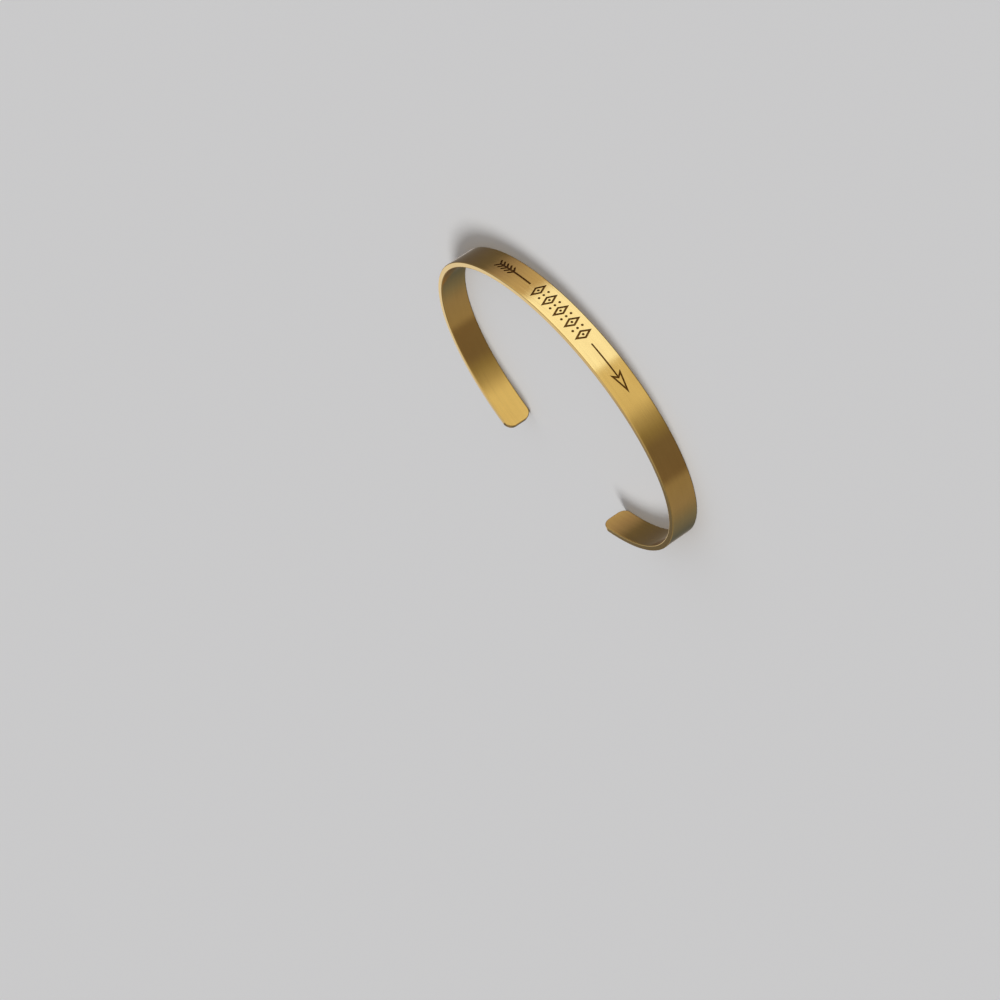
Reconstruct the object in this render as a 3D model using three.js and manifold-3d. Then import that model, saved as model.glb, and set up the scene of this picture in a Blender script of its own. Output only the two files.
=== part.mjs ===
// Cuff bracelet: one narrow strip of metal bent to an open oval, with an engraved arrow.
// Millimetres, +Z up. The cuff lies on one rim. Its engraved front faces -Y, its gap faces +Y,
// and the arrow points to -X.
import * as THREE from 'three';
import { mergeVertices } from 'three/addons/utils/BufferGeometryUtils.js';
import Module from 'manifold-3d';

// The strip, and the oval that it is bent to
const OUTER_WIDTH = 61;
const OUTER_DEPTH = 46;
const STRIP_WIDTH = 5;
const STRIP_THICKNESS = 1;
const GAP_WIDTH = 25;
const CORNER_RADIUS = 1.6;
const EDGE_RADIUS = 0.15;

// The engraved arrow, measured along the flat strip and across it
const ENGRAVING_DEPTH = 0.12;
const LINE_WIDTH = 0.34;
const BARB_WIDTH = 0.36;
const HEAD_LINE_WIDTH = 0.28;
const ARROW_LENGTH = 33.5;
const ARROW_SHIFT = 0.3;
const ARROW_DROP = 0.1;
const TAIL_PART_LENGTH = 8.55;
const HEAD_PART_LENGTH = 9.55;
const BARB_COUNT = 5;
const BARB_PITCH = 0.91;
const BARB_SWEEP = 0.7;
const FLETCHING_SPAN = 1.4;
const HEAD_LENGTH = 3.9;
const HEAD_SPAN = 2;
const HEAD_NOTCH = 0.85;

// The row of lozenges and dots between the two halves of the arrow
const ROW_CLEARANCE = 1.3;
const LOZENGE_COUNT = 5;
const LOZENGE_WIDTH = 1.7;
const LOZENGE_HEIGHT = 3.4;
const DOTS_IN_COLUMN = 3;
const DOT_DIAMETER = 0.45;
const DOT_PITCH = 0.95;

// How finely the round forms are divided
const BEND_STEP = 1;
const CORNER_STEPS = 10;
const EDGE_STEPS = 3;
const DOT_SIDES = 10;
const ARC_DIVISIONS = 2000;

const wasm = await Module();
wasm.setup();

// The middle line of the strip: an oval from one side of the gap, round the front, to the other
const midWidth = OUTER_WIDTH / 2 - STRIP_THICKNESS / 2;
const midDepth = OUTER_DEPTH / 2 - STRIP_THICKNESS / 2;
const halfGapAngle = Math.asin(GAP_WIDTH / 2 / midWidth);
const midLine = new THREE.EllipseCurve(
  0, 0, midWidth, midDepth, Math.PI / 2 + halfGapAngle, 2.5 * Math.PI - halfGapAngle,
);
midLine.arcLengthDivisions = ARC_DIVISIONS;
const stripLength = midLine.getLength();

// A place on the flat strip, carried to the bent one: along from the front's middle towards +X,
// up from the middle of the strip's width, and out from the middle of its thickness.
function onBentStrip(along, up, out) {
  const middle = midLine.getPointAt(THREE.MathUtils.clamp(0.5 + along / stripLength, 0, 1));
  const outward = new THREE.Vector2(middle.x / midWidth ** 2, middle.y / midDepth ** 2).normalize();
  middle.addScaledVector(outward, out);
  return new THREE.Vector3(middle.x, middle.y, up + STRIP_WIDTH / 2);
}

function bend(flatGeometry) {
  const position = flatGeometry.attributes.position;
  for (let index = 0; index < position.count; index += 1) {
    const place = onBentStrip(position.getX(index), position.getY(index), position.getZ(index));
    position.setXYZ(index, place.x, place.y, place.z);
  }
  return flatGeometry;
}

function toSolid(geometry) {
  geometry.deleteAttribute('normal');
  geometry.deleteAttribute('uv');
  const merged = mergeVertices(geometry);
  return new wasm.Manifold(new wasm.Mesh({
    numProp: 3,
    vertProperties: merged.attributes.position.array,
    triVerts: new Uint32Array(merged.index.array),
  }));
}

function toGeometry(solid) {
  const mesh = solid.getMesh();
  const geometry = new THREE.BufferGeometry();
  geometry.setAttribute('position', new THREE.BufferAttribute(mesh.vertProperties, 3));
  geometry.setIndex(new THREE.BufferAttribute(mesh.triVerts, 1));
  geometry.computeVertexNormals();
  return geometry;
}

// How far a quarter round of this radius has still to rise at a distance from its start
function roundShortfall(radius, distance) {
  const remaining = radius - Math.min(distance, radius);
  return radius - Math.sqrt(radius ** 2 - remaining ** 2);
}

// The strip's section at a place along it, as a ring of points. Its width shrinks round the
// corners of the strip's end, and its thickness round the end's edges.
function stripSection(along, cornerRadius, edgeRadius) {
  const fromEnd = stripLength / 2 - Math.abs(along);
  const halfWidth = STRIP_WIDTH / 2 - roundShortfall(cornerRadius, fromEnd);
  const halfThickness = STRIP_THICKNESS / 2 - roundShortfall(edgeRadius, fromEnd);
  const ring = [];
  for (let corner = 0; corner < 4; corner += 1) {
    const upSide = corner === 0 || corner === 3 ? 1 : -1;
    const outSide = corner < 2 ? 1 : -1;
    for (let step = 0; step <= EDGE_STEPS; step += 1) {
      const turn = (corner + step / EDGE_STEPS) * (Math.PI / 2);
      const up = upSide * (halfWidth - edgeRadius) + edgeRadius * Math.cos(turn);
      const out = outSide * (halfThickness - edgeRadius) + edgeRadius * Math.sin(turn);
      ring.push(onBentStrip(along, up, out));
    }
  }
  return ring;
}

// Places along the strip: close together round each end's corners, even between them
function stripStations(cornerRadius) {
  const ends = [];
  for (let step = 0; step <= CORNER_STEPS; step += 1) {
    const turn = (step / CORNER_STEPS) * (Math.PI / 2);
    ends.push(stripLength / 2 - cornerRadius * (1 - Math.cos(turn)));
  }
  const straight = stripLength - 2 * cornerRadius;
  const steps = Math.ceil(straight / BEND_STEP);
  const between = [];
  for (let step = 1; step < steps; step += 1) {
    between.push((step / steps - 0.5) * straight);
  }
  return [...ends.map((place) => -place), ...between, ...ends.reverse()];
}

// One closed skin over a row of rings of points, with a fan over the first and the last
function skinOverRings(rings) {
  const count = rings[0].length;
  const lastRing = (rings.length - 1) * count;
  const triangles = [];
  for (let start = 0; start < lastRing; start += count) {
    for (let index = 0; index < count; index += 1) {
      const here = start + index;
      const next = start + ((index + 1) % count);
      triangles.push(here, next, next + count, here, next + count, here + count);
    }
  }
  for (let index = 1; index + 1 < count; index += 1) {
    triangles.push(0, index + 1, index);
    triangles.push(lastRing, lastRing + index, lastRing + index + 1);
  }
  const geometry = new THREE.BufferGeometry().setFromPoints(rings.flat());
  geometry.setIndex(triangles);
  return geometry;
}

function bentStrip() {
  const edgeRadius = Math.min(EDGE_RADIUS, STRIP_THICKNESS / 4);
  const cornerRadius = Math.min(CORNER_RADIUS, STRIP_WIDTH / 2 - edgeRadius);
  const stations = stripStations(cornerRadius);
  return toSolid(skinOverRings(stations.map((along) => stripSection(along, cornerRadius, edgeRadius))));
}

// A place in the design, by its distance towards the tip from the arrow's middle. The arrow sits
// a little towards its tip from the middle of the front, and a little low on the strip.
function inDesign(towardsTip, up) {
  return new THREE.Vector2(-towardsTip - ARROW_SHIFT, up - ARROW_DROP);
}

function engravedLine(from, to, width) {
  const length = from.distanceTo(to);
  const pieces = Math.ceil(length / BEND_STEP);
  const bar = new THREE.BoxGeometry(length, width, 2 * ENGRAVING_DEPTH, pieces);
  bar.rotateZ(Math.atan2(to.y - from.y, to.x - from.x));
  bar.translate((from.x + to.x) / 2, (from.y + to.y) / 2, STRIP_THICKNESS / 2);
  return toSolid(bend(bar));
}

function engravedDot(centre) {
  const disc = new THREE.CylinderGeometry(DOT_DIAMETER / 2, DOT_DIAMETER / 2, 2 * ENGRAVING_DEPTH, DOT_SIDES);
  disc.rotateX(Math.PI / 2);
  disc.translate(centre.x, centre.y, STRIP_THICKNESS / 2);
  return toSolid(bend(disc));
}

// The corners of a closed outline, given anticlockwise, moved inwards with mitred corners
function insetOutline(corners, distance) {
  return corners.map((corner, index) => {
    const before = corners[(index + corners.length - 1) % corners.length];
    const after = corners[(index + 1) % corners.length];
    const arriving = corner.clone().sub(before).normalize();
    const leaving = after.clone().sub(corner).normalize();
    const inward = new THREE.Vector2(-arriving.y - leaving.y, arriving.x + leaving.x).normalize();
    const share = inward.dot(new THREE.Vector2(-leaving.y, leaving.x));
    return corner.clone().addScaledVector(inward, distance / share);
  });
}

// Points along a closed outline's edges, close enough together to be bent
function dividedOutline(corners) {
  return corners.flatMap((corner, index) => {
    const after = corners[(index + 1) % corners.length];
    const pieces = Math.ceil(corner.distanceTo(after) / BEND_STEP);
    return Array.from({ length: pieces }, (_, piece) => corner.clone().lerp(after, piece / pieces));
  });
}

// A closed figure engraved as a line of even width inside its outline
function engravedOutline(corners, width) {
  const figure = new THREE.Shape(dividedOutline(corners));
  figure.holes.push(new THREE.Path(dividedOutline(insetOutline(corners, width))));
  const ring = new THREE.ExtrudeGeometry(figure, { depth: 2 * ENGRAVING_DEPTH, bevelEnabled: false });
  ring.translate(0, 0, STRIP_THICKNESS / 2 - ENGRAVING_DEPTH);
  return toSolid(bend(ring));
}

const tailEnd = -ARROW_LENGTH / 2;
const tailPartEnd = tailEnd + TAIL_PART_LENGTH;
const tip = ARROW_LENGTH / 2;
const headPartStart = tip - HEAD_PART_LENGTH;

function fletchingLines() {
  const lines = [];
  for (let barb = 0; barb < BARB_COUNT; barb += 1) {
    const outerEnd = tailEnd + barb * BARB_PITCH;
    for (const side of [-1, 1]) {
      const from = inDesign(outerEnd, (side * FLETCHING_SPAN) / 2);
      lines.push(engravedLine(from, inDesign(outerEnd + BARB_SWEEP, 0), BARB_WIDTH));
    }
  }
  return lines;
}

function shaftLines() {
  const notchLine = tip - HEAD_LENGTH + HEAD_NOTCH + HEAD_LINE_WIDTH / 2;
  return [
    engravedLine(inDesign(tailEnd + BARB_SWEEP, 0), inDesign(tailPartEnd, 0), LINE_WIDTH),
    engravedLine(inDesign(headPartStart, 0), inDesign(notchLine, 0), HEAD_LINE_WIDTH),
  ];
}

function arrowHead() {
  const back = tip - HEAD_LENGTH;
  return engravedOutline([
    inDesign(tip, 0),
    inDesign(back, -HEAD_SPAN / 2),
    inDesign(back + HEAD_NOTCH, 0),
    inDesign(back, HEAD_SPAN / 2),
  ], HEAD_LINE_WIDTH);
}

function lozenge(centre) {
  return engravedOutline([
    inDesign(centre - LOZENGE_WIDTH / 2, 0),
    inDesign(centre, LOZENGE_HEIGHT / 2),
    inDesign(centre + LOZENGE_WIDTH / 2, 0),
    inDesign(centre, -LOZENGE_HEIGHT / 2),
  ], LINE_WIDTH);
}

function dotColumn(centre) {
  const dots = [];
  for (let dot = 0; dot < DOTS_IN_COLUMN; dot += 1) {
    dots.push(engravedDot(inDesign(centre, (dot - (DOTS_IN_COLUMN - 1) / 2) * DOT_PITCH)));
  }
  return dots;
}

// Lozenges from one end of the row to the other, a column of dots between each two,
// and a dot in the middle of each lozenge
function lozengeRow() {
  const first = tailPartEnd + ROW_CLEARANCE + LOZENGE_WIDTH / 2;
  const last = headPartStart - ROW_CLEARANCE - LOZENGE_WIDTH / 2;
  const pitch = (last - first) / (LOZENGE_COUNT - 1);
  const figures = [];
  for (let index = 0; index < LOZENGE_COUNT; index += 1) {
    const centre = first + index * pitch;
    figures.push(lozenge(centre), engravedDot(inDesign(centre, 0)));
    if (index + 1 < LOZENGE_COUNT) {
      figures.push(...dotColumn(centre + pitch / 2));
    }
  }
  return figures;
}

function engravedBand() {
  const cuts = [...fletchingLines(), ...shaftLines(), arrowHead(), ...lozengeRow()];
  return cuts.reduce((band, cut) => band.subtract(cut), bentStrip());
}

const goldPlate = new THREE.MeshStandardMaterial({ color: 0xd2ac62, roughness: 0.25, metalness: 1 });

const cuffBand = new THREE.Mesh(toGeometry(engravedBand()), goldPlate);
cuffBand.name = 'cuff_band';

// The origin lies under the middle of the whole cuff, on the surface that it rests on.
cuffBand.geometry.computeBoundingBox();
const middle = cuffBand.geometry.boundingBox.getCenter(new THREE.Vector3());
cuffBand.position.set(-middle.x, -middle.y, 0);

const bracelet = new THREE.Group();
bracelet.add(cuffBand);

export default bracelet;
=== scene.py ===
import math
from bisect import bisect_right

import bmesh
import bpy
from mathutils import Matrix, Vector


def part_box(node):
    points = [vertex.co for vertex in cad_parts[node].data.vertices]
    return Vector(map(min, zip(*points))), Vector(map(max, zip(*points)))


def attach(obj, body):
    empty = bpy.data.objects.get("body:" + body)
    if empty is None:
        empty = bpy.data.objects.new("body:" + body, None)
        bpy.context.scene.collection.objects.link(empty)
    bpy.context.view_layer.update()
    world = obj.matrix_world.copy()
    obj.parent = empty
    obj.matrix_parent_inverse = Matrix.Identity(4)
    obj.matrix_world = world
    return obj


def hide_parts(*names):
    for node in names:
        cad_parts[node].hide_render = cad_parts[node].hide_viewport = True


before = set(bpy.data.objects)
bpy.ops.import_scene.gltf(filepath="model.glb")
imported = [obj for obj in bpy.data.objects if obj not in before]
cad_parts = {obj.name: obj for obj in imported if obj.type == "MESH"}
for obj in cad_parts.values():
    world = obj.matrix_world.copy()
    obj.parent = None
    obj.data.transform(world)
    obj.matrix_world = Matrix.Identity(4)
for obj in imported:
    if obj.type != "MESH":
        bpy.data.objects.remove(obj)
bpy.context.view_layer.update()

MM = 0.001

# The strip and its oval. The strip's height and the oval's width come from the frame.
cuff_low, cuff_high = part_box("cuff_band")
OUTER_WIDTH = cuff_high.x - cuff_low.x
STRIP_WIDTH = cuff_high.z - cuff_low.z
OUTER_DEPTH = 46 * MM
STRIP_THICKNESS = 1 * MM
GAP_WIDTH = 25 * MM
CORNER_RADIUS = 1.6 * MM
EDGE_RADIUS = 0.15 * MM

# The engraved arrow, measured along the flat strip and across it
ENGRAVING_DEPTH = 0.12 * MM
LINE_WIDTH = 0.34 * MM
BARB_WIDTH = 0.36 * MM
HEAD_LINE_WIDTH = 0.28 * MM
ARROW_LENGTH = 33.5 * MM
ARROW_SHIFT = 0.3 * MM
ARROW_DROP = 0.1 * MM
TAIL_PART_LENGTH = 8.55 * MM
HEAD_PART_LENGTH = 9.55 * MM
BARB_COUNT = 5
BARB_PITCH = 0.91 * MM
BARB_SWEEP = 0.7 * MM
FLETCHING_SPAN = 1.4 * MM
HEAD_LENGTH = 3.9 * MM
HEAD_SPAN = 2 * MM
HEAD_NOTCH = 0.85 * MM

# The row of lozenges and dots between the two halves of the arrow
ROW_CLEARANCE = 1.3 * MM
LOZENGE_COUNT = 5
LOZENGE_WIDTH = 1.7 * MM
LOZENGE_HEIGHT = 3.4 * MM
DOTS_IN_COLUMN = 3
DOT_DIAMETER = 0.45 * MM
DOT_PITCH = 0.95 * MM

# The engraving's walls lean inwards by this much from the strip's face to their floor.
WALL_LEAN = 0.03 * MM

# The strip's ends stop short of the solid's by this much, as their finer rounding is fuller.
END_PLAY = 0.005 * MM

# Points of the engraved strip that lie closer than this are one point.
WELD = 0.0005 * MM

# A point of a groove's cone belongs to neither half of it if its side is less than this.
NO_SIDE = 1e-12

# How finely the round forms are divided
BEND_STEP = 0.5 * MM
CORNER_SEGMENTS = 12
EDGE_SEGMENTS = 4
LINE_END_SEGMENTS = 16
OVAL_DIVISIONS = 4000

# The camera, from the two rims of the cuff in the photograph's frame
FRAME_SIDE = 1000
VIEW_AZIMUTH = -28.99
VIEW_ELEVATION = 18.38
VIEW_ROLL = 236.2
FIELD_OF_VIEW = 20
SENSOR_WIDTH = 36
VIEW_DISTANCE = 460.65 * MM
OVAL_CENTRE_PIXEL = (576.1, 390.5)


class Oval:
    """The strip's middle line, measured from the middle of the front towards +X."""

    def __init__(self):
        self.half_width = (OUTER_WIDTH - STRIP_THICKNESS) / 2
        self.half_depth = (OUTER_DEPTH - STRIP_THICKNESS) / 2
        self.centre_y = cuff_low.y + OUTER_DEPTH / 2
        last_turn = math.pi - math.asin(GAP_WIDTH / 2 / self.half_width)
        self.turn_step = last_turn / OVAL_DIVISIONS
        self.lengths = [0.0]
        for index in range(OVAL_DIVISIONS):
            turn = (index + 0.5) * self.turn_step
            pace = math.hypot(self.half_width * math.cos(turn), self.half_depth * math.sin(turn))
            self.lengths.append(self.lengths[-1] + pace * self.turn_step)
        self.half_length = self.lengths[-1] - END_PLAY

    def place(self, along):
        """The middle line's point at a length along it, and the direction out of the cuff there."""
        length = min(abs(along), self.half_length)
        index = min(bisect_right(self.lengths, length), OVAL_DIVISIONS) - 1
        share = (length - self.lengths[index]) / (self.lengths[index + 1] - self.lengths[index])
        turn = math.copysign((index + share) * self.turn_step, along)
        point = Vector((
            self.half_width * math.sin(turn),
            self.centre_y - self.half_depth * math.cos(turn),
            0,
        ))
        outward = Vector((math.sin(turn) / self.half_width, -math.cos(turn) / self.half_depth, 0))
        return point, outward.normalized()


oval = Oval()


def new_piece(name, mesh_work, *materials):
    mesh = bpy.data.meshes.new(name)
    mesh_work.to_mesh(mesh)
    mesh_work.free()
    for material in materials:
        mesh.materials.append(material)
    piece = bpy.data.objects.new(name, mesh)
    bpy.context.scene.collection.objects.link(piece)
    return piece


def flat_strip():
    """The straight blank: it stands on its edge facing -Y, with rounded corners and edges."""
    work = bmesh.new()
    bmesh.ops.create_cube(work, size=1)
    size = (2 * oval.half_length, STRIP_THICKNESS, STRIP_WIDTH)
    bmesh.ops.scale(work, vec=size, verts=work.verts)
    corners = [edge for edge in work.edges if abs((edge.verts[0].co - edge.verts[1].co).y) > 0]
    bmesh.ops.bevel(
        work, geom=corners, offset=CORNER_RADIUS, segments=CORNER_SEGMENTS,
        profile=0.5, affect="EDGES", material=-1,
    )
    broad_faces = [face for face in work.faces if abs(face.normal.y) > 0.99]
    rims = {edge for face in broad_faces for edge in face.edges}
    bmesh.ops.bevel(
        work, geom=list(rims), offset=EDGE_RADIUS, segments=EDGE_SEGMENTS,
        profile=0.5, affect="EDGES", material=-1,
    )
    bmesh.ops.translate(work, vec=(0, 0, STRIP_WIDTH / 2), verts=work.verts)
    return work


def in_design(towards_tip, up):
    """A place in the design, by its distance towards the tip from the arrow's middle."""
    return Vector((
        -towards_tip - ARROW_SHIFT, -STRIP_THICKNESS / 2, STRIP_WIDTH / 2 + up - ARROW_DROP,
    ))


class Graver:
    """A cutter for the design's lines. At the strip's face its walls are a line's width apart.
    They lean apart above the face and together below it."""

    def __init__(self):
        self.work = bmesh.new()

    def line(self, start, end, width):
        """A groove with round ends: a cone's stump, with a half of it at each end of the line."""
        made = bmesh.ops.create_cone(
            self.work, cap_ends=True, segments=LINE_END_SEGMENTS, radius1=width / 2 + WALL_LEAN,
            radius2=width / 2 - WALL_LEAN, depth=2 * ENGRAVING_DEPTH,
        )["verts"]
        into_strip = Matrix.Rotation(-math.pi / 2, 4, "X")
        bmesh.ops.transform(self.work, matrix=into_strip, verts=made)
        reach = (end - start) / 2
        for vert in made:
            side = vert.co.dot(reach)
            if abs(side) > NO_SIDE:
                vert.co += math.copysign(1, side) * reach
            vert.co += (start + end) / 2

    def dot(self, centre, diameter):
        self.line(centre, centre, diameter)

    def outline(self, corners, width):
        """A closed figure: a groove of even width just inside its corners."""
        face = self.work.faces.new([self.work.verts.new(corner) for corner in corners])
        face.normal_update()
        upper = bmesh.ops.inset_region(
            self.work, faces=[face], thickness=width, use_even_offset=True, use_boundary=True,
        )["faces"]
        bmesh.ops.delete(self.work, geom=[face], context="FACES_ONLY")
        made = bmesh.ops.extrude_face_region(self.work, geom=upper)["geom"]
        lower = [item for item in made if isinstance(item, bmesh.types.BMFace)]
        self.shift_ring(upper, -ENGRAVING_DEPTH, WALL_LEAN / width)
        self.shift_ring(lower, ENGRAVING_DEPTH, -WALL_LEAN / width)
        bmesh.ops.recalc_face_normals(self.work, faces=self.work.faces)

    def shift_ring(self, ring, depth, spread):
        """Moves an outline's faces to a depth, and moves its two borders apart by a share."""
        for mitre in {edge for face in ring for edge in face.edges}:
            if sum(face in ring for face in mitre.link_faces) == 2:
                stretch = (mitre.verts[1].co - mitre.verts[0].co) * spread
                mitre.verts[0].co -= stretch
                mitre.verts[1].co += stretch
        verts = {vert for face in ring for vert in face.verts}
        bmesh.ops.translate(self.work, vec=(0, depth, 0), verts=list(verts))

    def cut(self, piece, material):
        """Takes the cutter out of the piece. The faces that it leaves have the material."""
        cutter = new_piece("engraving_cutter", self.work, material)
        boolean = piece.modifiers.new("engraving", "BOOLEAN")
        boolean.operation = "DIFFERENCE"
        boolean.solver = "EXACT"
        boolean.use_self = True
        boolean.material_mode = "TRANSFER"
        boolean.object = cutter
        finished = piece.evaluated_get(bpy.context.evaluated_depsgraph_get())
        mesh = bpy.data.meshes.new_from_object(finished)
        piece.modifiers.clear()
        piece.data = mesh
        bpy.data.objects.remove(cutter)


def draw_fletching(graver):
    tail_end = -ARROW_LENGTH / 2
    for barb in range(BARB_COUNT):
        outer_end = tail_end + barb * BARB_PITCH
        for side in (-1, 1):
            start = in_design(outer_end, side * FLETCHING_SPAN / 2)
            graver.line(start, in_design(outer_end + BARB_SWEEP, 0), BARB_WIDTH)
    shaft_end = in_design(tail_end + TAIL_PART_LENGTH, 0)
    graver.line(in_design(tail_end + BARB_SWEEP, 0), shaft_end, LINE_WIDTH)


def draw_head(graver):
    tip = ARROW_LENGTH / 2
    back = tip - HEAD_LENGTH
    graver.outline([
        in_design(tip, 0),
        in_design(back, -HEAD_SPAN / 2),
        in_design(back + HEAD_NOTCH, 0),
        in_design(back, HEAD_SPAN / 2),
    ], HEAD_LINE_WIDTH)
    shaft_end = in_design(back + HEAD_NOTCH, 0)
    graver.line(in_design(tip - HEAD_PART_LENGTH, 0), shaft_end, HEAD_LINE_WIDTH)


def draw_row(graver):
    """Lozenges with a dot in each, and a column of dots between each two."""
    row_start = -ARROW_LENGTH / 2 + TAIL_PART_LENGTH + ROW_CLEARANCE
    row_end = ARROW_LENGTH / 2 - HEAD_PART_LENGTH - ROW_CLEARANCE
    pitch = (row_end - row_start - LOZENGE_WIDTH) / (LOZENGE_COUNT - 1)
    for index in range(LOZENGE_COUNT):
        centre = row_start + LOZENGE_WIDTH / 2 + index * pitch
        graver.outline([
            in_design(centre - LOZENGE_WIDTH / 2, 0),
            in_design(centre, LOZENGE_HEIGHT / 2),
            in_design(centre + LOZENGE_WIDTH / 2, 0),
            in_design(centre, -LOZENGE_HEIGHT / 2),
        ], LINE_WIDTH)
        graver.dot(in_design(centre, 0), DOT_DIAMETER)
        if index + 1 < LOZENGE_COUNT:
            for dot in range(DOTS_IN_COLUMN):
                height = (dot - (DOTS_IN_COLUMN - 1) / 2) * DOT_PITCH
                graver.dot(in_design(centre + pitch / 2, height), DOT_DIAMETER)


def engrave(strip, burnt):
    graver = Graver()
    draw_fletching(graver)
    draw_head(graver)
    draw_row(graver)
    graver.cut(strip, burnt)


def dice(work):
    """Cuts the flat strip across, so that it can bend."""
    steps = math.ceil(2 * oval.half_length / BEND_STEP)
    for step in range(1, steps):
        along = (step / steps - 0.5) * 2 * oval.half_length
        near = [
            face for face in work.faces
            if min(v.co.x for v in face.verts) < along < max(v.co.x for v in face.verts)
        ]
        parts = set(near)
        parts.update(edge for face in near for edge in face.edges)
        parts.update(vert for face in near for vert in face.verts)
        bmesh.ops.bisect_plane(
            work, geom=list(parts), dist=WELD, plane_co=(along, 0, 0), plane_no=(1, 0, 0),
        )


def clean(work):
    """Takes away faces without area, and points that split an edge and join nothing."""
    bmesh.ops.dissolve_degenerate(work, edges=work.edges, dist=WELD)
    idle = [vert for vert in work.verts if len(vert.link_edges) == 2]
    bmesh.ops.dissolve_verts(work, verts=idle)


def rounded_normal(place):
    """The true direction out of the flat strip's rounded form at a place on its surface."""
    across = Vector((place.x, 0, place.z - STRIP_WIDTH / 2))
    reach = Vector((oval.half_length - CORNER_RADIUS, 0, STRIP_WIDTH / 2 - CORNER_RADIUS))
    core = Vector((
        max(-reach.x, min(reach.x, across.x)), 0, max(-reach.z, min(reach.z, across.z)),
    ))
    past_core = across - core
    side = past_core.normalized() * max(0, past_core.length - CORNER_RADIUS + EDGE_RADIUS)
    flat = STRIP_THICKNESS / 2 - EDGE_RADIUS
    out = place.y - max(-flat, min(flat, place.y))
    return (side + Vector((0, out, 0))).normalized()


def bent(direction, outward):
    """A direction on the flat strip, turned with the strip where it faces outward."""
    sideways = Vector((-outward.y, outward.x, 0))
    return direction.x * sideways - direction.y * outward + Vector((0, 0, direction.z))


def bend_with_normals(mesh):
    """Bends the flat mesh to the oval. The plate gets the rounded strip's normals, and the
    engraving keeps its own."""
    flat_place = mesh.attributes.new("strip_place", "FLOAT_VECTOR", "POINT")
    normals = [Vector()] * len(mesh.loops)
    for polygon in mesh.polygons:
        for index in polygon.loop_indices:
            place = mesh.vertices[mesh.loops[index].vertex_index].co
            flat = polygon.normal if polygon.material_index else rounded_normal(place)
            normals[index] = bent(flat, oval.place(place.x)[1])
    for vert in mesh.vertices:
        flat_place.data[vert.index].vector = vert.co
        point, outward = oval.place(vert.co.x)
        vert.co = point - vert.co.y * outward + Vector((0, 0, vert.co.z))
    mesh.polygons.foreach_set("use_smooth", [True] * len(mesh.polygons))
    mesh.normals_split_custom_set(normals)


def cuff(gold, burnt):
    """The whole cuff: engraved while it is flat, cut into short lengths and bent."""
    strip = new_piece("engraved_gold_strip", flat_strip(), gold, burnt)
    engrave(strip, burnt)
    work = bmesh.new()
    work.from_mesh(strip.data)
    bmesh.ops.remove_doubles(work, verts=work.verts, dist=WELD)
    dice(work)
    clean(work)
    work.to_mesh(strip.data)
    work.free()
    bend_with_normals(strip.data)
    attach(strip, "root")
    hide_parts("cuff_band")


class Value:
    """A socket in a material, so that maths on numbers reads as plain sums and products."""

    def __init__(self, nodes, socket):
        self.nodes = nodes
        self.socket = socket

    def output(self, name):
        """Another output of the same node."""
        return Value(self.nodes, self.socket.node.outputs[name])

    def maths(self, operation, *others):
        return self.nodes.add("ShaderNodeMath", {"operation": operation}, [self, *others])

    def __add__(self, other):
        return self.maths("ADD", other)

    def __sub__(self, other):
        return self.maths("SUBTRACT", other)

    def __mul__(self, other):
        return self.maths("MULTIPLY", other)

    def __truediv__(self, other):
        return self.maths("DIVIDE", other)

    def __rsub__(self, other):
        return self.nodes.add("ShaderNodeMath", {"operation": "SUBTRACT"}, [other, self])

    def __abs__(self):
        return self.maths("ABSOLUTE")

    __radd__ = __add__
    __rmul__ = __mul__

    def between(self, low, high):
        """0 below low, 1 above high, and a smooth rise between."""
        return self.nodes.add(
            "ShaderNodeMapRange", {"interpolation_type": "SMOOTHSTEP"},
            {"Value": self, "From Min": low, "From Max": high},
        )


# The sockets of a Mix node that are on when it mixes colours
MIX_SHARE, MIX_FIRST, MIX_SECOND, MIX_RESULT = 0, 6, 7, 2


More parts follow.
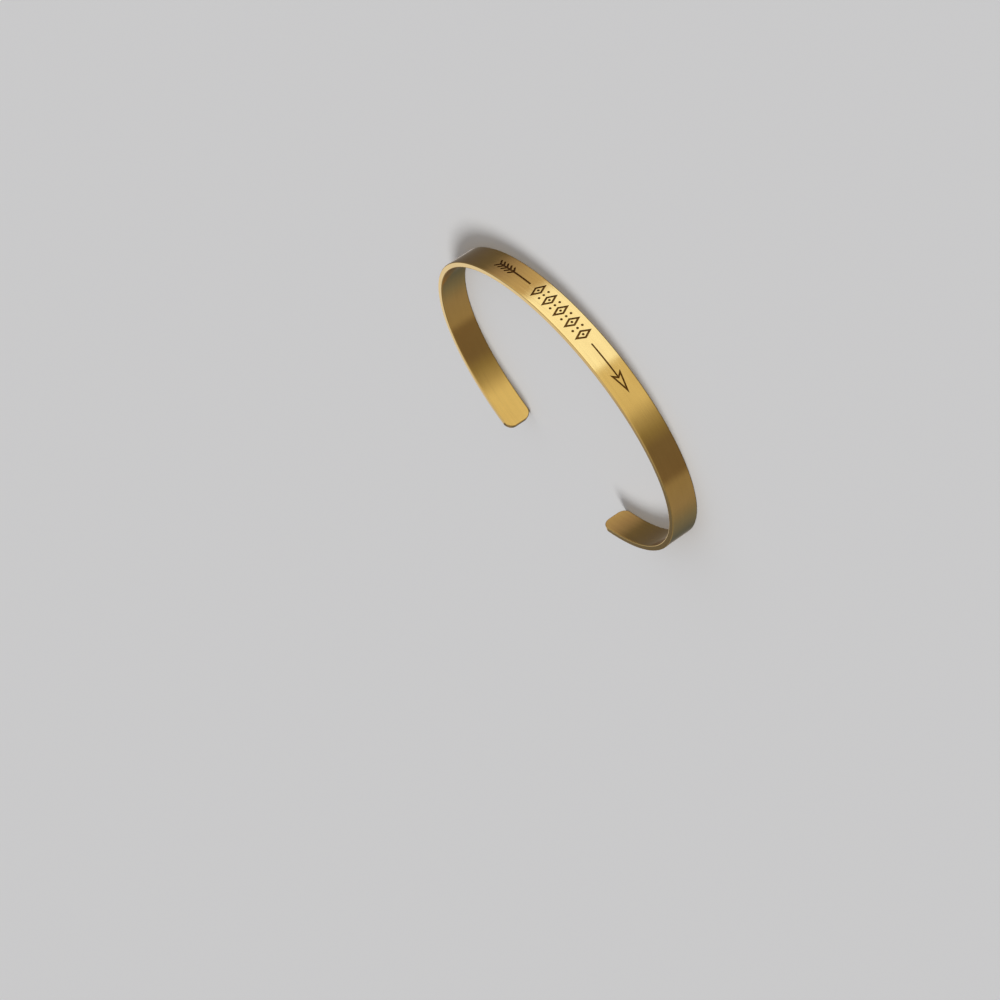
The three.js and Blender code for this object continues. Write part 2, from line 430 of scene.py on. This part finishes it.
class Nodes:
    """The nodes of one material or of the world."""

    def __init__(self, owner):
        owner.use_nodes = True
        self.tree = owner.node_tree
        self.tree.nodes.clear()

    def add(self, kind, settings=None, inputs=None):
        """A new node's first output. Its inputs are values or links, in order or by name."""
        node = self.tree.nodes.new(kind)
        for name, setting in (settings or {}).items():
            if name == "stops":
                self.set_stops(node.color_ramp.elements, setting)
            else:
                setattr(node, name, setting)
        pairs = inputs.items() if isinstance(inputs, dict) else enumerate(inputs or [])
        for name, given in pairs:
            if isinstance(given, Value):
                self.tree.links.new(given.socket, node.inputs[name])
            else:
                node.inputs[name].default_value = given
        return Value(self, node.outputs[0]) if node.outputs else node

    def set_stops(self, stops, rows):
        """Gives a ramp its stops, from rows of a position and a colour."""
        while len(stops) < len(rows):
            stops.new(0.5)
        for stop, (position, _) in zip(stops, rows):
            stop.position = position
        for stop, (_, colour) in zip(stops, rows):
            stop.color = colour

    def strip_place(self):
        """Where a point lies on the flat strip: along it, through it and up it."""
        return self.add("ShaderNodeAttribute", {"attribute_name": "strip_place"}).output("Vector")

    def parts(self, vector):
        split = self.add("ShaderNodeSeparateXYZ", {}, [vector])
        return [split.output(axis) for axis in "XYZ"]

    def noise(self, place, stretch, detail=2.0):
        """Noise with this many grains a metre along the strip, through it and up it."""
        stretched = self.add("ShaderNodeVectorMath", {"operation": "MULTIPLY"}, [place, stretch])
        return self.add("ShaderNodeTexNoise", {"noise_dimensions": "3D"}, {
            "Vector": stretched, "Scale": 1.0, "Detail": detail, "Roughness": 0.5,
        })

    def mixed(self, share, first, second):
        mix = self.add("ShaderNodeMix", {"data_type": "RGBA"}, {
            MIX_SHARE: share, MIX_FIRST: first, MIX_SECOND: second,
        })
        return mix.output(MIX_RESULT)

    def dimmed(self, colour, factor):
        return self.add("ShaderNodeVectorMath", {"operation": "SCALE"}, {
            "Vector": colour, "Scale": factor,
        })

    def bump(self, height, distance):
        return self.add("ShaderNodeBump", {}, {
            "Height": height, "Strength": 1.0, "Distance": distance,
        })


GOLD = (0.91, 0.585, 0.17, 1)
DEEP_GOLD = (0.84, 0.53, 0.152, 1)
BURNT = (0.088, 0.032, 0.002, 1)
BURNT_BROWN = (0.22, 0.085, 0.006, 1)

# The grains of each finish, as many a metre along the strip, through it and up it
HAIRLINES = (500, 14000, 14000)
STREAKS = (90, 3200, 3200)
SCRATCHES = (160, 7000, 7000)
MOTTLE = (300, 300, 300)
BURNT_GRAIN = (9000, 9000, 9000)

POLISHED_ROUGHNESS = 0.105
BURNT_ROUGHNESS = 0.25
RELIEF_DEPTH = 0.006 * MM


def satin_gold():
    """Gold plate brushed along the strip, with polished edges and rims and a few scratches."""
    material = bpy.data.materials.new("satin_gold")
    nodes = Nodes(material)
    place = nodes.strip_place()
    hairlines = nodes.noise(place, HAIRLINES)
    streaks = nodes.noise(place, STREAKS)
    scratches = nodes.noise(place, SCRATCHES, 0).between(0.70, 0.76)
    mottle = nodes.noise(place, MOTTLE, 3.0)
    height = abs(nodes.parts(place)[2] - STRIP_WIDTH / 2)
    polish = height.between(STRIP_WIDTH / 2 - 2 * EDGE_RADIUS, STRIP_WIDTH / 2 - EDGE_RADIUS / 2)
    satin = 1 - polish
    shade = mottle.between(0.3, 0.75) * 0.5 + streaks.between(0.25, 0.75) * satin * 0.5
    brushing = hairlines * 0.05 + streaks * 0.04 + scratches * 0.06
    relief = satin * (hairlines * 0.3 + streaks + scratches * 0.3)
    shader = nodes.add("ShaderNodeBsdfPrincipled", {}, {
        "Base Color": nodes.mixed(shade, GOLD, DEEP_GOLD), "Metallic": 1.0,
        "Roughness": POLISHED_ROUGHNESS + satin * brushing,
        "Anisotropic": 0.7, "Anisotropic Rotation": 0.25,
        "Normal": nodes.bump(relief, RELIEF_DEPTH),
    })
    nodes.add("ShaderNodeOutputMaterial", {}, {"Surface": shader})
    return material


def burnt_groove():
    """The engraving's floor, burnt dark and slightly uneven, and its walls, a little lighter. The
    darkening from walls to floor is partly the burn and partly painted shade in the groove.
    """
    material = bpy.data.materials.new("burnt_groove")
    nodes = Nodes(material)
    place = nodes.strip_place()
    grain = nodes.noise(place, BURNT_GRAIN, 3.0)
    depth = nodes.parts(place)[1] + STRIP_THICKNESS / 2
    # Painted shade: the groove's colour darkens with depth, from its walls down to its floor, over
    # the burn's own colour.
    floor = depth.between(0.2 * ENGRAVING_DEPTH, 0.95 * ENGRAVING_DEPTH)
    burnt = nodes.mixed(grain.between(0.35, 0.7), BURNT, BURNT_BROWN)
    shader = nodes.add("ShaderNodeBsdfPrincipled", {}, {
        "Base Color": nodes.mixed(floor, BURNT_BROWN, burnt), "Metallic": 0.9,
        "Roughness": BURNT_ROUGHNESS + grain * 0.2, "Normal": nodes.bump(grain, RELIEF_DEPTH),
    })
    nodes.add("ShaderNodeOutputMaterial", {}, {"Surface": shader})
    return material


FLOOR_COLOUR = (0.625, 0.62, 0.61, 1)
FLOOR_RADIUS = 3.0


def studio_floor():
    """A wide pale floor. The cuff mirrors the studio's light in its place."""
    material = bpy.data.materials.new("pale_floor")
    nodes = Nodes(material)
    shader = nodes.add("ShaderNodeBsdfPrincipled", {}, {
        "Base Color": FLOOR_COLOUR, "Roughness": 0.9, "Specular IOR Level": 0.0,
    })
    nodes.add("ShaderNodeOutputMaterial", {}, {"Surface": shader})
    work = bmesh.new()
    bmesh.ops.create_circle(work, cap_ends=True, segments=64, radius=FLOOR_RADIUS)
    floor = new_piece("studio_floor", work, material)
    floor.visible_glossy = False


# What the studio shows round the cuff, by the direction turned from -Y towards -X, in degrees,
# and how bright it is there. Between two rows the light changes evenly. The strip's outer face
# mirrors the low ring, and its rims mirror the high one.
LOW_RING = [
    (-180, (0.10, 0.12, 0.13)),
    (-168, (0.14, 0.15, 0.16)),
    (-158, (0.62, 0.62, 0.66)),
    (-142, (0.66, 0.66, 0.70)),
    (-132, (0.18, 0.18, 0.19)),
    (-125, (0.14, 0.14, 0.15)),
    (-112, (0.115, 0.112, 0.13)),
    (-88, (0.13, 0.125, 0.13)),
    (-75, (0.33, 0.30, 0.34)),
    (-62, (0.50, 0.48, 0.51)),
    (-52, (0.56, 0.52, 0.52)),
    (-45.5, (1.15, 1.38, 2.0)),
    (2.8, (1.15, 1.38, 2.0)),
    (4.4, (0.75, 0.76, 0.73)),
    (30, (0.73, 0.74, 0.70)),
    (41, (0.40, 0.39, 0.35)),
    (50, (0.26, 0.245, 0.20)),
    (60, (0.17, 0.15, 0.15)),
    (90, (0.175, 0.15, 0.15)),
    (98, (0.29, 0.27, 0.27)),
    (126, (0.28, 0.265, 0.29)),
    (150, (0.18, 0.20, 0.25)),
    (180, (0.10, 0.12, 0.13)),
]
HIGH_RING = [
    (-180, (0.28, 0.28, 0.30)),
    (-168, (0.20, 0.20, 0.21)),
    (-156, (0.10, 0.10, 0.11)),
    (-152.6, (0.14, 0.145, 0.16)),
    (-150.8, (0.48, 0.49, 0.54)),
    (-149, (0.66, 0.70, 0.80)),
    (-147, (0.82, 0.90, 1.10)),
    (-141, (0.74, 0.78, 0.90)),
    (-132, (0.26, 0.26, 0.28)),
    (-122, (0.16, 0.16, 0.17)),
    (-95, (0.16, 0.16, 0.17)),
    (-86, (0.19, 0.19, 0.20)),
    (-78, (0.42, 0.42, 0.44)),
    (-62, (0.60, 0.60, 0.62)),
    (-20, (0.62, 0.64, 0.68)),
    (35, (0.70, 0.72, 0.76)),
    (54, (0.36, 0.36, 0.38)),
    (66, (0.20, 0.20, 0.21)),
    (105, (0.16, 0.16, 0.17)),
    (150, (0.20, 0.20, 0.21)),
    (180, (0.28, 0.28, 0.30)),
]

# Above the high ring is the ceiling. Below the low ring is the cuff's own shade on the floor, and
# straight below is the floor, which is lighter.
OVERHEAD = (0.52, 0.52, 0.54, 1)
FLOOR_SHADE = (0.07, 0.065, 0.06, 1)
FLOOR_LIGHT = (0.21, 0.205, 0.20, 1)
BACKDROP = (0.62, 0.62, 0.62, 1)

# Heights are sines, from -1 straight down to 1 straight up. Over each band one light becomes the
# next one up.
FLOOR_TO_SHADE = (-0.97, -0.86)
SHADE_TO_LOW_RING = (-0.78, -0.58)
LOW_RING_TO_HIGH = (-0.05, 0.1)
HIGH_RING_TO_OVERHEAD = (0.65, 0.95)

# From the photograph's side the strip mirrors the low ring at this height. The ring is brighter
# above it and darker below it.
MIRRORED_HEIGHT = -0.366
RING_GRADIENT = 0.9


def ring_of_light(nodes, turn, rows):
    """The light all round, from rows of a direction in degrees and a colour."""
    stops = [(degrees / 360 + 0.5, (*light, 1)) for degrees, light in rows]
    return nodes.add("ShaderNodeValToRGB", {"stops": stops}, [turn])


def studio_world():
    """The studio's light from every side. Past the floor the camera sees an even backdrop."""
    world = bpy.data.worlds.new("studio")
    bpy.context.scene.world = world
    nodes = Nodes(world)
    east, north, height = nodes.parts(nodes.add("ShaderNodeTexCoord"))
    turn = (-1 * east).maths("ARCTAN2", -1 * north) / (2 * math.pi) + 0.5
    gradient = 1 + (height - MIRRORED_HEIGHT) * RING_GRADIENT
    low_ring = nodes.dimmed(ring_of_light(nodes, turn, LOW_RING), gradient)
    high_ring = ring_of_light(nodes, turn, HIGH_RING)
    light = nodes.mixed(height.between(*FLOOR_TO_SHADE), FLOOR_LIGHT, FLOOR_SHADE)
    light = nodes.mixed(height.between(*SHADE_TO_LOW_RING), light, low_ring)
    light = nodes.mixed(height.between(*LOW_RING_TO_HIGH), light, high_ring)
    light = nodes.mixed(height.between(*HIGH_RING_TO_OVERHEAD), light, OVERHEAD)
    seen_by_camera = nodes.add("ShaderNodeLightPath")
    background = nodes.add("ShaderNodeBackground", {}, {
        "Color": nodes.mixed(seen_by_camera, light, BACKDROP), "Strength": 1.0,
    })
    nodes.add("ShaderNodeOutputWorld", {}, {"Surface": background})


SUN_TOWARDS = (-0.45, 0.55, 1)
SUN_WIDTH = 30
SUN_POWER = 2.0


def soft_sun():
    """A wide, even light from above, that the cuff doesn't mirror. It casts the soft shadow."""
    lamp = bpy.data.lights.new("overhead", "SUN")
    lamp.angle = math.radians(SUN_WIDTH)
    lamp.energy = SUN_POWER
    light = bpy.data.objects.new("overhead", lamp)
    bpy.context.scene.collection.objects.link(light)
    light.rotation_euler = Vector(SUN_TOWARDS).to_track_quat("Z", "Y").to_euler()
    light.visible_glossy = False


def camera():
    """Looks at the cuff as the photograph does. The frame is rolled about the line of sight, and
    the camera is moved aside until the oval's centre has its place in the frame."""
    azimuth, elevation, roll = map(math.radians, (VIEW_AZIMUTH, VIEW_ELEVATION, VIEW_ROLL))
    back = Vector((
        math.sin(azimuth) * math.cos(elevation),
        -math.cos(azimuth) * math.cos(elevation),
        math.sin(elevation),
    ))
    level = Vector((0, 0, 1)).cross(back).normalized()
    upright = back.cross(level)
    right = math.cos(roll) * level + math.sin(roll) * upright
    up = math.cos(roll) * upright - math.sin(roll) * level
    half_frame = FRAME_SIDE / 2
    pixels_per_slope = half_frame / math.tan(math.radians(FIELD_OF_VIEW / 2))
    slope_right = (OVAL_CENTRE_PIXEL[0] - half_frame) / pixels_per_slope
    slope_down = (OVAL_CENTRE_PIXEL[1] - half_frame) / pixels_per_slope
    place = VIEW_DISTANCE * (back - slope_right * right + slope_down * up)
    place += Vector((0, oval.centre_y, 0))
    lens = bpy.data.cameras.new("camera")
    lens.sensor_width = SENSOR_WIDTH
    lens.lens = SENSOR_WIDTH / 2 / math.tan(math.radians(FIELD_OF_VIEW / 2))
    lens.clip_start = 0.01
    lens.clip_end = 20
    seen_from = bpy.data.objects.new("camera", lens)
    bpy.context.scene.collection.objects.link(seen_from)
    turned = Matrix((right, up, back)).transposed().to_4x4()
    seen_from.matrix_world = Matrix.Translation(place) @ turned
    bpy.context.scene.camera = seen_from


camera()
cuff(satin_gold(), burnt_groove())
studio_floor()
studio_world()
soft_sun()
bpy.context.scene.view_settings.view_transform = "Standard"
